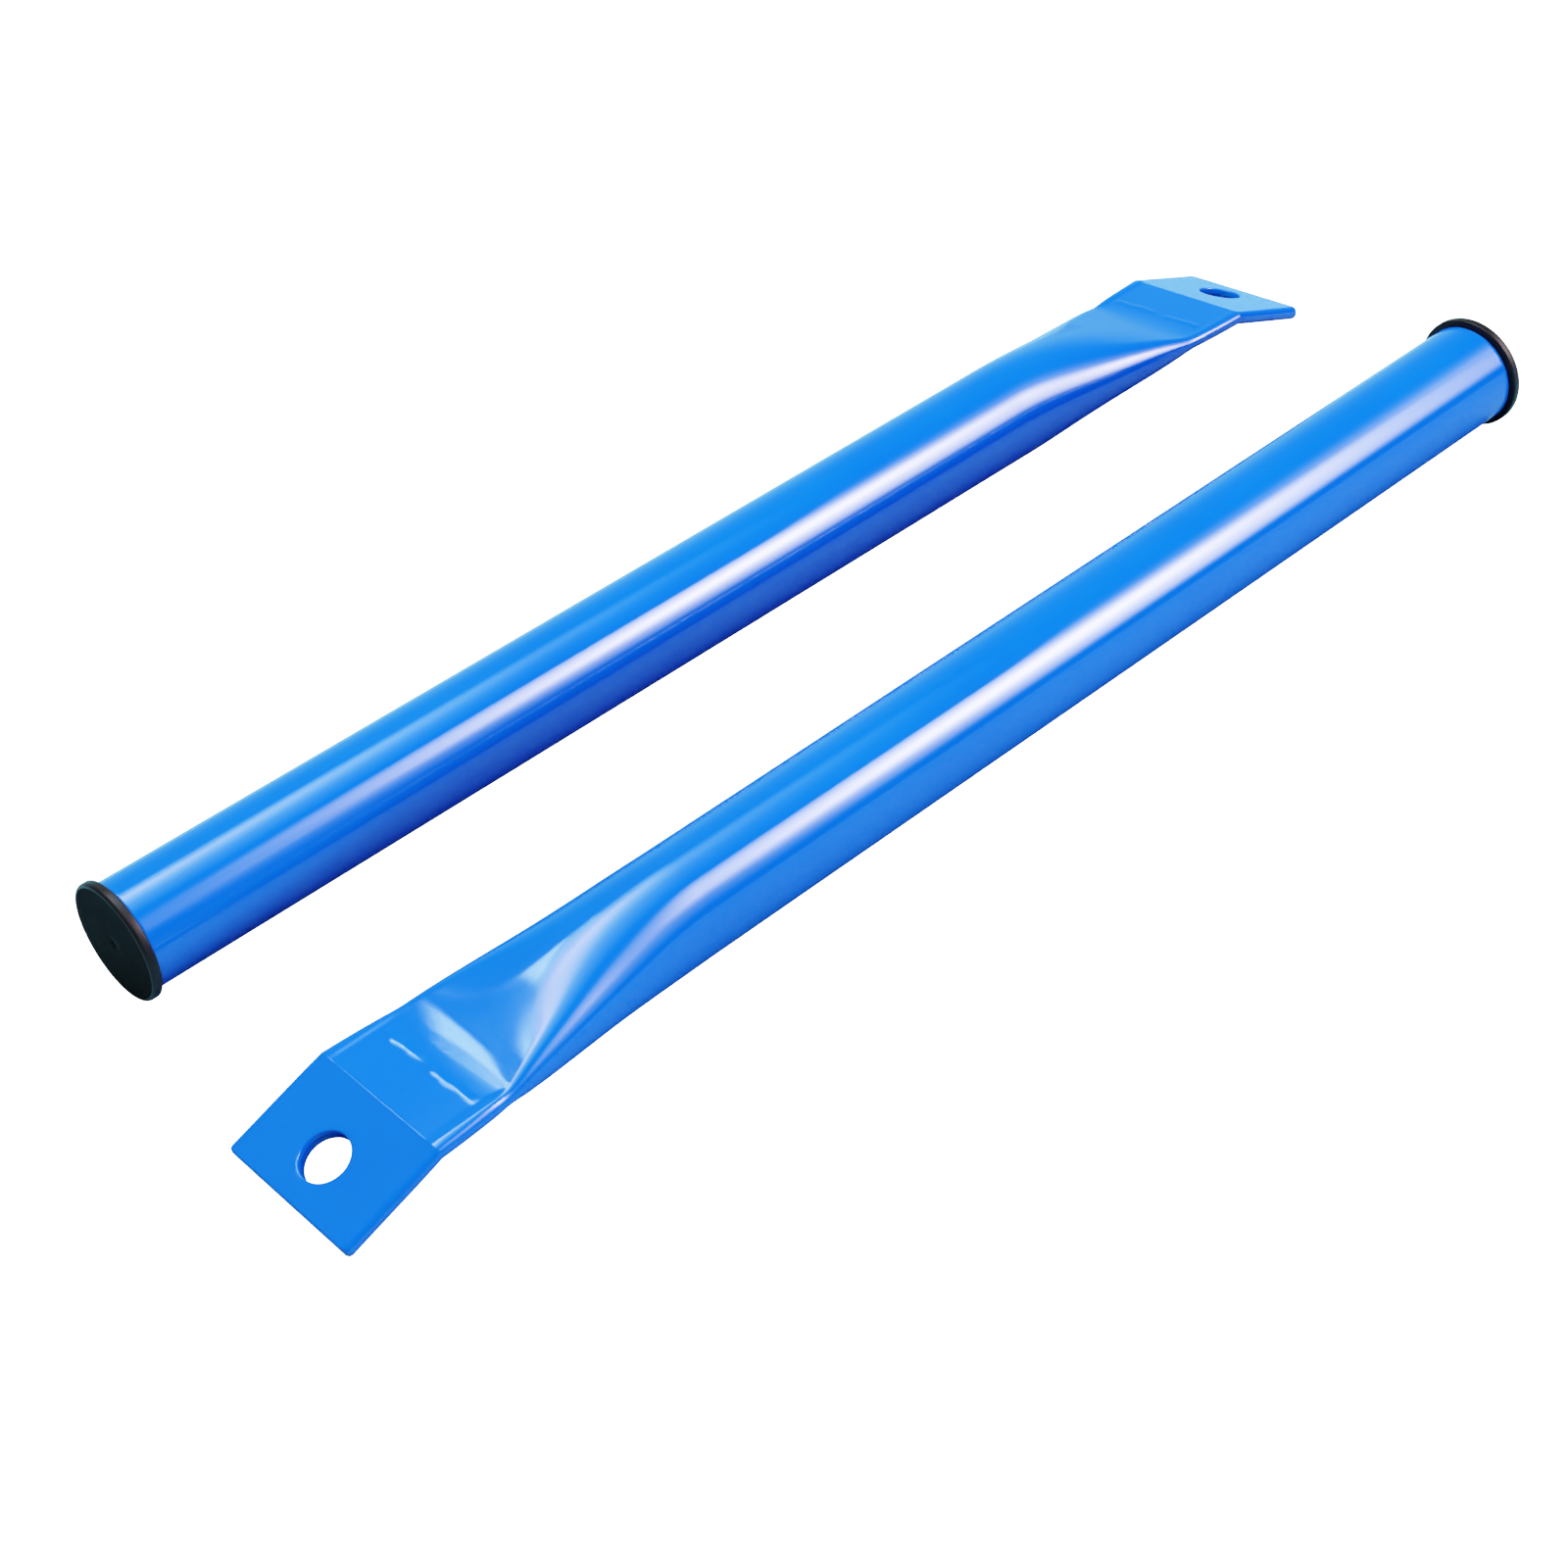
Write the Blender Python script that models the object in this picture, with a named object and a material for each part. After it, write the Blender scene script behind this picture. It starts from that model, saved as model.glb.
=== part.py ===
"""A pair of straight tubular sway bars: each a round steel tube with one end crushed flat, bent down
into a bolt tab and drilled, and the other end closed by a push-in plastic plug.

Metres, +Z up. The two bars lie side by side on the plane Z = 0, pointing opposite ways, and the
origin is the bottom centre of their common box. Each bar rests on the rim of its plug's flange and on
the belly of its tube, with its tab hanging just clear. The front bar has rolled over a little, until
one corner of its tab is about to touch as well.
"""

from math import atan2, cos, pi, radians, sin, tan

import bmesh
import bpy
from mathutils import Matrix, Vector

# ---- Driving dimensions: the tube ----
TUBE_DIAMETER = 0.0254
TUBE_WALL = 0.0015
ROUND_LENGTH = 0.2590        # from the open end to where the tube starts to flatten
CRUSH_LENGTH = 0.0710        # from there to the press line, where the tube is flat
FLAT_LENGTH = 0.0121         # from the press line to the bend line
TAB_LENGTH = 0.0252          # from the bend line to the cut end
TAB_ANGLE = radians(20)      # how far the tab is bent down from the tube's axis
BEND_RADIUS = 0.006          # of the middle of the flattened tube
WALL_SEAM = 0.0003           # left between the two pressed walls
CORNER_RADIUS = 0.0012       # of the tab's two end corners
FLARE_PAST_PRESS = 0.0150    # the sides go on widening this far past the press line
CRUSH_STEEPNESS = 2.0        # the walls close in this power of the way along the crushed stretch
FOLD_ARC = radians(18)       # half the arc of the round tube that is folded into each side edge
CUT_EDGE_ANGLE = radians(32) # surfaces that meet more sharply than this keep a crisp edge

# ---- Driving dimensions: the bolt hole ----
BOLT_HOLE_DIAMETER = 0.011
BOLT_HOLE_FROM_BEND = 0.0144

# ---- Driving dimensions: the end plug ----
FLANGE_OVERHANG = 0.00145    # how far the flange stands out past the tube, all round
FLANGE_THICKNESS = 0.0022
FLANGE_EDGE_RADIUS = 0.0008
SLEEVE_DEPTH = 0.0140        # from the flange to the sleeve's inner end
SLEEVE_WALL = 0.0012
SLEEVE_LEAD_IN = 0.0006
RIB_COUNT = 3
RIB_HEIGHT = 0.0009
RIB_SLOPE_SHARE = 0.65       # of the spacing of the ribs, from a rib's sharp side to the foot of its slope
RIB_FROM_FLANGE = 0.0024

# ---- Clearances ----
TOUCHING_GAP = 0.0003        # between faces that touch on the real object
RIB_CLEARANCE = 0.0001       # between a rib's tip and the tube's bore

# ---- Driving dimensions: how the two bars lie ----
BAR_FROM_MIDDLE = 0.0428     # from the middle of the pair to a bar's axis, sideways
PLUG_FROM_MIDDLE = 0.1736    # from the middle of the pair to a tube's open end, lengthwise
FRONT_BAR_SKEW = radians(0.6)    # the front bar isn't quite parallel to the rear one
FRONT_BAR_ROLL = radians(-6.3)   # and it has rolled this far about its own axis

# ---- Fineness of the meshes ----
FOLD_STEPS = 6               # faces round each folded side edge
FACE_STEPS = 17              # odd, so that one face of the tube's lower half lies flat underneath
CRUSH_STEPS = 13
CRUSH_CROWDING = 1.5         # above 1, the rings of the crushed stretch crowd towards the press line
FLAT_STEPS = 2
BEND_STEPS = 4
CORNER_STEPS = 3
TURN_STEPS = 42              # even but no multiple of 4, so that the rim stands on one of its faces
EDGE_STEPS = 3
HOLE_STEPS = 36

# ---- Worked out from the above ----
TUBE_RADIUS = TUBE_DIAMETER / 2
BORE_RADIUS = TUBE_RADIUS - TUBE_WALL
TAB_WIDTH = pi * (TUBE_DIAMETER - 2 * TUBE_WALL) / 2 + 2 * TUBE_WALL   # pressing keeps the tube's girth
FLAT_HALF_HEIGHT = TUBE_WALL + WALL_SEAM / 2
PRESS_LINE = ROUND_LENGTH + CRUSH_LENGTH
BEND_LINE = PRESS_LINE + FLAT_LENGTH
FLARE_LENGTH = CRUSH_LENGTH + FLARE_PAST_PRESS
BEND_SETBACK = BEND_RADIUS * tan(TAB_ANGLE / 2)
FLANGE_RADIUS = TUBE_RADIUS + FLANGE_OVERHANG
FLANGE_FACE = -TOUCHING_GAP - FLANGE_THICKNESS
RIM_DROP = FLANGE_RADIUS * cos(pi / TURN_STEPS)
RIB_PITCH = (SLEEVE_DEPTH - SLEEVE_LEAD_IN - RIB_FROM_FLANGE) / RIB_COUNT

ENAMEL_BLUE = (0.004, 0.145, 0.80, 1.0)
PLUG_BLACK = (0.012, 0.014, 0.016, 1.0)


def clear_scene():
    for thing in list(bpy.data.objects):
        bpy.data.objects.remove(thing, do_unlink=True)


def plain_material(name, colour, roughness, metallic, coat):
    material = bpy.data.materials.new(name)
    material.use_nodes = True
    shader = material.node_tree.nodes["Principled BSDF"]
    shader.inputs["Base Color"].default_value = colour
    shader.inputs["Roughness"].default_value = roughness
    shader.inputs["Metallic"].default_value = metallic
    shader.inputs["Coat Weight"].default_value = coat
    material.diffuse_color = colour
    return material


def object_of(name, bm, material):
    """A smooth-shaded object holding what was built in bm, with its normals pointing out."""
    bmesh.ops.recalc_face_normals(bm, faces=bm.faces)
    mesh = bpy.data.meshes.new(name)
    bm.to_mesh(mesh)
    bm.free()
    mesh.materials.append(material)
    mesh.shade_smooth()
    mesh.set_sharp_from_angle(angle=CUT_EDGE_ANGLE)
    thing = bpy.data.objects.new(name, mesh)
    bpy.context.scene.collection.objects.link(thing)
    return thing


def smoothstep(share):
    share = min(max(share, 0.0), 1.0)
    return share * share * (3 - 2 * share)


def section_angles():
    """Where round the tube the section's points stand: closest together in the two folds."""
    angles = []
    for side in (0.0, pi):
        for step in range(FOLD_STEPS):
            angles.append(side - FOLD_ARC + 2 * FOLD_ARC * step / FOLD_STEPS)
        for step in range(FACE_STEPS):
            angles.append(side + FOLD_ARC + (pi - 2 * FOLD_ARC) * step / FACE_STEPS)
    return angles


def flattened_point(angle, half_width, half_height):
    """Where a point of the round tube ends up when the tube is pressed into a flat with round sides."""
    turned = (angle + FOLD_ARC) % (2 * pi)
    side = 1 if turned < pi else -1
    turned %= pi
    core = half_width - half_height
    if turned < 2 * FOLD_ARC:
        arc = (turned / FOLD_ARC - 1) * pi / 2
        return side * (core + half_height * cos(arc)), side * half_height * sin(arc)
    across = (turned - 2 * FOLD_ARC) / (pi - 2 * FOLD_ARC)
    return side * core * (1 - 2 * across), side * half_height


def section(along, radius, flat_half_width, flat_half_height):
    """The tube's section, one skin of it, at a distance along from the open end: (y, z) pairs."""
    crushed = max(0.0, min(1.0, (along - ROUND_LENGTH) / CRUSH_LENGTH)) ** CRUSH_STEEPNESS
    flare = smoothstep((along - ROUND_LENGTH) / FLARE_LENGTH)
    half_width = radius + (flat_half_width - radius) * flare
    points = []
    for angle in section_angles():
        flat_y, flat_z = flattened_point(angle, flat_half_width, flat_half_height)
        share_y = (1 - crushed) * cos(angle) + crushed * flat_y / flat_half_width
        height = (1 - crushed) * radius * sin(angle) + crushed * flat_z
        points.append((half_width * share_y, height))
    return points


def stations():
    """Distances along the tube's middle line, from the open end to the cut end, each with how much the
    rounded end corners take off the half width there."""
    places = [(0.0, 0.0), (ROUND_LENGTH, 0.0)]
    for step in range(1, CRUSH_STEPS + 1):
        share = 1 - (1 - step / CRUSH_STEPS) ** CRUSH_CROWDING
        places.append((ROUND_LENGTH + CRUSH_LENGTH * share, 0.0))
    bend_start = BEND_LINE - BEND_SETBACK
    for step in range(1, FLAT_STEPS + 1):
        places.append((PRESS_LINE + (bend_start - PRESS_LINE) * step / FLAT_STEPS, 0.0))
    bend_length = BEND_RADIUS * TAB_ANGLE
    for step in range(1, BEND_STEPS + 1):
        places.append((bend_start + bend_length * step / BEND_STEPS, 0.0))
    cut_end = bend_start + bend_length + TAB_LENGTH - BEND_SETBACK
    for step in range(CORNER_STEPS + 1):
        turn = pi / 2 * step / CORNER_STEPS
        places.append((cut_end - CORNER_RADIUS * (1 - sin(turn)), CORNER_RADIUS * (1 - cos(turn))))
    return places


def middle_line(along):
    """The place and the slope of the tube's middle line at a distance along it."""
    bend_start = BEND_LINE - BEND_SETBACK
    if along <= bend_start:
        return Vector((along, 0, 0)), 0.0
    turn = min((along - bend_start) / BEND_RADIUS, TAB_ANGLE)
    place = Vector((bend_start + BEND_RADIUS * sin(turn), 0, BEND_RADIUS * (cos(turn) - 1)))
    straight = along - bend_start - BEND_RADIUS * turn
    return place + straight * Vector((cos(turn), 0, -sin(turn))), turn


def ring_of(bm, along, pulled_in, radius, flat_half_width, flat_half_height):
    place, slope = middle_line(along)
    up = Vector((sin(slope), 0, cos(slope)))
    ring = []
    for y, z in section(along, radius, flat_half_width, flat_half_height):
        y *= 1 - pulled_in / flat_half_width
        ring.append(bm.verts.new(place + Vector((0, y, 0)) + z * up))
    return ring


def join_rings(bm, first, second):
    for corner in range(len(first)):
        after = (corner + 1) % len(first)
        bm.faces.new((first[corner], first[after], second[after], second[corner]))


def tube_mesh():
    """The outer and the inner skin of the tube, joined at its open end and at its cut end."""
    bm = bmesh.new()
    places = stations()
    outer = [
        ring_of(bm, along, pulled, TUBE_RADIUS, TAB_WIDTH / 2, FLAT_HALF_HEIGHT)
        for along, pulled in places
    ]
    inner = [
        ring_of(bm, along, pulled, BORE_RADIUS, TAB_WIDTH / 2 - TUBE_WALL, WALL_SEAM / 2)
        for along, pulled in places
    ]
    for skin in (outer, inner):
        for first, second in zip(skin, skin[1:]):
            join_rings(bm, first, second)
    join_rings(bm, outer[0], inner[0])
    join_rings(bm, outer[-1], inner[-1])
    return bm


def tab_matrix():
    """From the tab's own frame, with its origin where the bend line crosses the middle, to the tube's."""
    return Matrix.Translation((BEND_LINE, 0, 0)) @ Matrix.Rotation(TAB_ANGLE, 4, "Y")


def bolt_hole_cutter(name, placed):
    """A round cutter across the tab, three times as deep as the tab is thick."""
    bm = bmesh.new()
    bmesh.ops.create_cone(
        bm,
        cap_ends=True,
        segments=HOLE_STEPS,
        radius1=BOLT_HOLE_DIAMETER / 2,
        radius2=BOLT_HOLE_DIAMETER / 2,
        depth=3 * 2 * FLAT_HALF_HEIGHT,
    )
    bmesh.ops.transform(
        bm, matrix=tab_matrix() @ Matrix.Translation((BOLT_HOLE_FROM_BEND, 0, 0)), verts=bm.verts
    )
    cutter = object_of(name, bm, placed.data.materials[0])
    cutter.hide_render = True
    cutter.display_type = "WIRE"
    cutter.parent = placed
    hole = placed.modifiers.new("bolt_hole", "BOOLEAN")
    hole.object = cutter
    hole.operation = "DIFFERENCE"
    hole.solver = "EXACT"
    return cutter


def flange_profile():
    """(distance along the axis, radius) from the middle of the flange's outer face to its inner rim."""
    edge = min(FLANGE_EDGE_RADIUS, FLANGE_THICKNESS / 2)
    points = [(FLANGE_FACE, 0.0)]
    for step in range(EDGE_STEPS + 1):
        turn = pi / 2 * step / EDGE_STEPS
        points.append((FLANGE_FACE + edge * (1 - cos(turn)), FLANGE_RADIUS - edge * (1 - sin(turn))))
    points.append((-TOUCHING_GAP, FLANGE_RADIUS))
    return points


def sleeve_profile():
    """The ribbed sleeve that goes into the bore, and its hollow, from the flange's inner face."""
    rib_radius = BORE_RADIUS - RIB_CLEARANCE
    sleeve_radius = rib_radius - RIB_HEIGHT
    sleeve_end = -TOUCHING_GAP + SLEEVE_DEPTH
    points = [(-TOUCHING_GAP, sleeve_radius)]
    for rib in range(RIB_COUNT):
        start = -TOUCHING_GAP + RIB_FROM_FLANGE + rib * RIB_PITCH
        points.append((start, sleeve_radius))
        points.append((start, rib_radius))
        points.append((start + RIB_PITCH * RIB_SLOPE_SHARE, sleeve_radius))
    points.append((sleeve_end - SLEEVE_LEAD_IN, sleeve_radius))
    points.append((sleeve_end, sleeve_radius - SLEEVE_LEAD_IN))
    points.append((sleeve_end, sleeve_radius - SLEEVE_WALL))
    points.append((-TOUCHING_GAP, sleeve_radius - SLEEVE_WALL))
    points.append((-TOUCHING_GAP, 0.0))
    return points


def plug_mesh():
    """The plug, turned about the tube's axis."""
    bm = bmesh.new()
    profile = flange_profile() + sleeve_profile()
    line = [bm.verts.new((along, radius, 0)) for along, radius in profile]
    edges = [bm.edges.new(pair) for pair in zip(line, line[1:])]
    bmesh.ops.spin(
        bm,
        geom=line + edges,
        cent=(0, 0, 0),
        axis=(1, 0, 0),
        dvec=(0, 0, 0),
        angle=2 * pi,
        steps=TURN_STEPS,
        use_merge=True,
    )
    bmesh.ops.remove_doubles(bm, verts=bm.verts, dist=1e-6)
    return bm


def resting_slope(tube, roll):
    """How far a bar tips about its plug's rim before its tube touches the surface that it lies on."""
    rolled = Matrix.Rotation(roll, 3, "X")
    slopes = []
    for vertex in tube.data.vertices:
        place = rolled @ vertex.co
        slopes.append(atan2(place.z + RIM_DROP, place.x + TOUCHING_GAP))
    return min(slopes)


def lie_down(tube, plug, turn, roll):
    """Lays one bar on the surface, turned about the middle of the pair. Only the tube is rolled: the
    plug looks the same all round, and keeps one face of its rim down."""
    rim = Vector((-TOUCHING_GAP, 0, -RIM_DROP))
    slope = Matrix.Rotation(resting_slope(tube, roll), 4, "Y")
    tipped = Matrix.Translation(rim) @ slope @ Matrix.Translation(-rim)
    beside = Matrix.Translation((-PLUG_FROM_MIDDLE, BAR_FROM_MIDDLE, RIM_DROP))
    placed = Matrix.Rotation(turn, 4, "Z") @ beside @ tipped
    plug.matrix_world = placed
    tube.matrix_world = placed @ Matrix.Rotation(roll, 4, "X")


def centre_pair(things):
    """Moves the pieces so that the origin is the bottom centre of their common box."""
    bpy.context.view_layer.update()
    graph = bpy.context.evaluated_depsgraph_get()
    corners = []
    for thing in things:
        evaluated = thing.evaluated_get(graph)
        corners += [evaluated.matrix_world @ vertex.co for vertex in evaluated.data.vertices]
    middle = [(min(c[axis] for c in corners) + max(c[axis] for c in corners)) / 2 for axis in (0, 1)]
    bottom = min(c.z for c in corners)
    for thing in things:
        thing.matrix_world = Matrix.Translation((-middle[0], -middle[1], -bottom)) @ thing.matrix_world


def main():
    clear_scene()
    blue = plain_material("blue_powder_coat", ENAMEL_BLUE, 0.16, 0.0, 1.0)
    black = plain_material("black_plastic", PLUG_BLACK, 0.42, 0.0, 0.0)
    pieces = []
    for bar, turn, roll in (("rear", 0.0, 0.0), ("front", pi - FRONT_BAR_SKEW, FRONT_BAR_ROLL)):
        tube = object_of(bar + "_tube", tube_mesh(), blue)
        bolt_hole_cutter(bar + "_bolt_hole_cutter", tube)
        plug = object_of(bar + "_end_plug", plug_mesh(), black)
        lie_down(tube, plug, turn, roll)
        pieces += [tube, plug]
    centre_pair(pieces)


main()
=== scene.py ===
"""A pair of tubular sway bars, dressed for the camera.

Each bar is one round steel tube, pressed flat at one end, bent into a bolt tab, drilled and powder
coated, with a moulded plug pushed into its open end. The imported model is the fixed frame: every piece
built here stands for one of its nodes and rides on the same body.
"""

import logging
from dataclasses import dataclass, field
from enum import Enum
from math import asin, atan2, cos, exp, pi, radians, sin, tan

import bmesh
import bpy
from mathutils import Matrix, Vector


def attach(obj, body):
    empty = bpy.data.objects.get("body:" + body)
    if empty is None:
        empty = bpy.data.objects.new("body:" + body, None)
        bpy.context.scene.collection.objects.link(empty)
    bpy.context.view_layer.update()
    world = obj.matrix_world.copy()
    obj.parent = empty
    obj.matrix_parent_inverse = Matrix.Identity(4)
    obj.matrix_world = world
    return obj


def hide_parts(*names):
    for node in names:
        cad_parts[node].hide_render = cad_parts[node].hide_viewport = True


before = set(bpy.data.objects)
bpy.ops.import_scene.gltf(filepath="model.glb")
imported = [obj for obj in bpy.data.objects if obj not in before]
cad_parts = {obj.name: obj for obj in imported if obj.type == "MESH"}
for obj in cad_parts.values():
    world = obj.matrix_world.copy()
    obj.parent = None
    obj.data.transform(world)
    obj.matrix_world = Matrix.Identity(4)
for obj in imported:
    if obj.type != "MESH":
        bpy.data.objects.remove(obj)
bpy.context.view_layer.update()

log = logging.getLogger("sway_bars")


class Side(Enum):
    """Which of the two bars a piece belongs to."""

    REAR = "rear"
    FRONT = "front"


class Skin(Enum):
    """The two skins of the tube's wall."""

    OUTER = "outer"
    INNER = "inner"


class Slot(Enum):
    """The record's material slots."""

    COAT = "blue_powder_coat"
    PLASTIC = "black_plastic"


def smoothstep(share: float) -> float:
    """Eases a share from 0 to 1, with no slope at either end."""
    share = min(max(share, 0.0), 1.0)
    return share * share * (3 - 2 * share)


def bump_at(place: float, middle: float, width: float) -> float:
    """The height, from 0 to 1, of a rounded swelling at a place across it."""
    return exp(-(((place - middle) / width) ** 2))


def new_object(name: str, data: bpy.types.ID) -> bpy.types.Object:
    """Adds an object to the scene.

    Args:
        name: The object's name.
        data: Its mesh, lamp or camera.

    Returns:
        The new object.
    """
    made = bpy.data.objects.new(name, data)
    bpy.context.scene.collection.objects.link(made)
    return made


def new_mesh(name: str, bm: bmesh.types.BMesh) -> bpy.types.Mesh:
    """Turns built geometry into a mesh, and lets go of the geometry.

    Args:
        name: The mesh's name.
        bm: The geometry.

    Returns:
        The new mesh.
    """
    mesh = bpy.data.meshes.new(name)
    bm.to_mesh(mesh)
    bm.free()
    return mesh


def strip_between(bm: bmesh.types.BMesh, first: list, second: list) -> list[bmesh.types.BMFace]:
    """Closes the gap between two rings with smooth quads.

    Args:
        bm: The mesh that the rings are in.
        first: One ring's vertices.
        second: The next ring's vertices.

    Returns:
        The quads, in order round the ring.
    """
    quads = []
    for corner in range(len(first)):
        after = (corner + 1) % len(first)
        quad = bm.faces.new((first[corner], first[after], second[after], second[corner]))
        quad.smooth = True
        quads.append(quad)
    return quads


class NodeBench:
    """Lays out one material's nodes and joins them."""

    def __init__(self, name: str) -> None:
        """Starts an empty material.

        Args:
            name: The material's name.
        """
        self.material = bpy.data.materials.new(name)
        self.material.use_nodes = True
        self.tree = self.material.node_tree
        self.shader = self.tree.nodes["Principled BSDF"]
        self.column = 0

    def add(self, kind: str, **settings: object) -> bpy.types.Node:
        """Adds a node and sets its own properties.

        Args:
            kind: Blender's name for the node's type.
            **settings: Properties of the node, by name.

        Returns:
            The new node.
        """
        node = self.tree.nodes.new(kind)
        self.column -= 190
        node.location = (self.column, 0)
        for name, value in settings.items():
            setattr(node, name, value)
        return node

    def join(self, source: bpy.types.NodeSocket, target: bpy.types.NodeSocket) -> None:
        """Links an output to an input."""
        self.tree.links.new(source, target)

    def noise(self, place: bpy.types.NodeSocket, scale: float, detail: float) -> bpy.types.Node:
        """A noise texture at a place.

        Args:
            place: The coordinates that it is drawn in.
            scale: Grains to the metre.
            detail: How many finer layers are added.

        Returns:
            The texture's node.
        """
        node = self.add("ShaderNodeTexNoise")
        node.inputs["Scale"].default_value = scale
        node.inputs["Detail"].default_value = detail
        self.join(place, node.inputs["Vector"])
        return node

    def ramp(self, value: bpy.types.NodeSocket, *stops: tuple[float, tuple[float, ...]]) -> bpy.types.Node:
        """A colour ramp over a value.

        Args:
            value: What the ramp reads.
            *stops: Places along the ramp with their colours.

        Returns:
            The ramp's node.
        """
        node = self.add("ShaderNodeValToRGB")
        band = node.color_ramp
        band.elements.remove(band.elements[1])
        band.elements[0].position, band.elements[0].color = stops[0]
        for place, colour in stops[1:]:
            band.elements.new(place).color = colour
        self.join(value, node.inputs["Fac"])
        return node

    def bump(
        self, height: bpy.types.NodeSocket, distance: float, under: bpy.types.Node | None = None
    ) -> bpy.types.Node:
        """A bump from a height.

        Args:
            height: The texture's height, from 0 to 1.
            distance: How deep that height is, in metres.
            under: A bump that this one lies on.

        Returns:
            The bump's node.
        """
        node = self.add("ShaderNodeBump")
        node.inputs["Strength"].default_value = 1.0
        node.inputs["Distance"].default_value = distance
        self.join(height, node.inputs["Height"])
        if under is not None:
            self.join(under.outputs["Normal"], node.inputs["Normal"])
        return node


@dataclass(frozen=True)
class PowderCoat:
    """Gloss powder coat, with the faint orange peel that it cures to."""

    name: str = "gloss_blue_powder_coat"
    colour: tuple[float, float, float, float] = (0.0045, 0.153, 0.89, 1.0)
    thin_colour: tuple[float, float, float, float] = (0.0040, 0.143, 0.86, 1.0)
    roughness: float = 0.075
    refraction: float = 1.5
    cloud_size: float = 0.03
    cloud_stops: tuple[float, float] = (0.35, 0.65)
    peel_size: float = 0.0042
    peel_depth: float = 0.0000045
    speck_size: float = 0.0006
    speck_depth: float = 0.0000004

    def material(self) -> bpy.types.Material:
        """Builds the coat's material.

        Returns:
            The material.
        """
        bench = NodeBench(self.name)
        place = bench.add("ShaderNodeTexCoord").outputs["Object"]
        cloud = bench.noise(place, 1 / self.cloud_size, 3.0)
        thin, full = self.cloud_stops
        tint = bench.ramp(cloud.outputs["Fac"], (thin, self.thin_colour), (full, self.colour))
        bench.join(tint.outputs["Color"], bench.shader.inputs["Base Color"])
        peel = bench.noise(place, 1 / self.peel_size, 1.0)
        speck = bench.noise(place, 1 / self.speck_size, 2.0)
        swell = bench.bump(peel.outputs["Fac"], self.peel_depth)
        grain = bench.bump(speck.outputs["Fac"], self.speck_depth, swell)
        bench.join(grain.outputs["Normal"], bench.shader.inputs["Normal"])
        bench.shader.inputs["Roughness"].default_value = self.roughness
        bench.shader.inputs["IOR"].default_value = self.refraction
        return bench.material


@dataclass(frozen=True)
class BoreSteel:
    """The inside of the tube: drawn steel with a mist of coat blown in from the end."""

    name: str = "bore_steel"
    steel: tuple[float, float, float, float] = (0.16, 0.165, 0.175, 1.0)
    mist: tuple[float, float, float, float] = (0.01, 0.10, 0.42, 1.0)
    mist_reach: float = 0.022
    grains_to_the_metre: float = 900.0
    grain_depth: float = 0.00001
    metallic: float = 0.55
    roughness: float = 0.42

    def material(self) -> bpy.types.Material:
        """Builds the bore's material.

        Returns:
            The material.
        """
        bench = NodeBench(self.name)
        place = bench.add("ShaderNodeTexCoord").outputs["Object"]
        inward = bench.add("ShaderNodeAttribute", attribute_name="depth")
        depth = bench.add("ShaderNodeMapRange", interpolation_type="SMOOTHSTEP")
        depth.inputs["From Max"].default_value = self.mist_reach
        depth.inputs["To Min"].default_value = 1.0
        depth.inputs["To Max"].default_value = 0.0
        bench.join(inward.outputs["Fac"], depth.inputs["Value"])
        grain = bench.noise(place, self.grains_to_the_metre, 4.0)
        mixed = bench.add("ShaderNodeMix", data_type="RGBA")
        mixed.inputs["A"].default_value = self.steel
        mixed.inputs["B"].default_value = self.mist
        bench.join(depth.outputs["Result"], mixed.inputs["Factor"])
        bench.join(mixed.outputs["Result"], bench.shader.inputs["Base Color"])
        drawn = bench.bump(grain.outputs["Fac"], self.grain_depth)
        bench.join(drawn.outputs["Normal"], bench.shader.inputs["Normal"])
        bench.shader.inputs["Metallic"].default_value = self.metallic
        bench.shader.inputs["Roughness"].default_value = self.roughness
        return bench.material


@dataclass(frozen=True)
class MouldedPlastic:
    """Black polyethylene from a lightly sparked mould."""

    name: str = "moulded_black_plastic"
    colour: tuple[float, float, float, float] = (0.0092, 0.0068, 0.0080, 1.0)
    worn_colour: tuple[float, float, float, float] = (0.0122, 0.0095, 0.0110, 1.0)
    flow_size: float = 0.006
    flow_stops: tuple[float, float] = (0.3, 0.8)
    smooth: float = 0.34
    rough: float = 0.48
    spark_size: float = 0.00035
    spark_depth: float = 0.000006
    specular: float = 0.22
    specular_tint: tuple[float, float, float, float] = (1.0, 0.78, 0.75, 1.0)

    def material(self) -> bpy.types.Material:
        """Builds the plastic's material.

        Returns:
            The material.
        """
        bench = NodeBench(self.name)
        place = bench.add("ShaderNodeTexCoord").outputs["Object"]
        flow = bench.noise(place, 1 / self.flow_size, 3.0)
        fresh, worn = self.flow_stops
        tint = bench.ramp(flow.outputs["Fac"], (fresh, self.colour), (worn, self.worn_colour))
        bench.join(tint.outputs["Color"], bench.shader.inputs["Base Color"])
        sheen = bench.add("ShaderNodeMapRange")
        sheen.inputs["To Min"].default_value = self.smooth
        sheen.inputs["To Max"].default_value = self.rough
        bench.join(flow.outputs["Fac"], sheen.inputs["Value"])
        bench.join(sheen.outputs["Result"], bench.shader.inputs["Roughness"])
        spark = bench.noise(place, 1 / self.spark_size, 2.0)
        skin = bench.bump(spark.outputs["Fac"], self.spark_depth)
        bench.join(skin.outputs["Normal"], bench.shader.inputs["Normal"])
        bench.shader.inputs["Specular IOR Level"].default_value = self.specular
        bench.shader.inputs["Specular Tint"].default_value = self.specular_tint
        return bench.material


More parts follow.
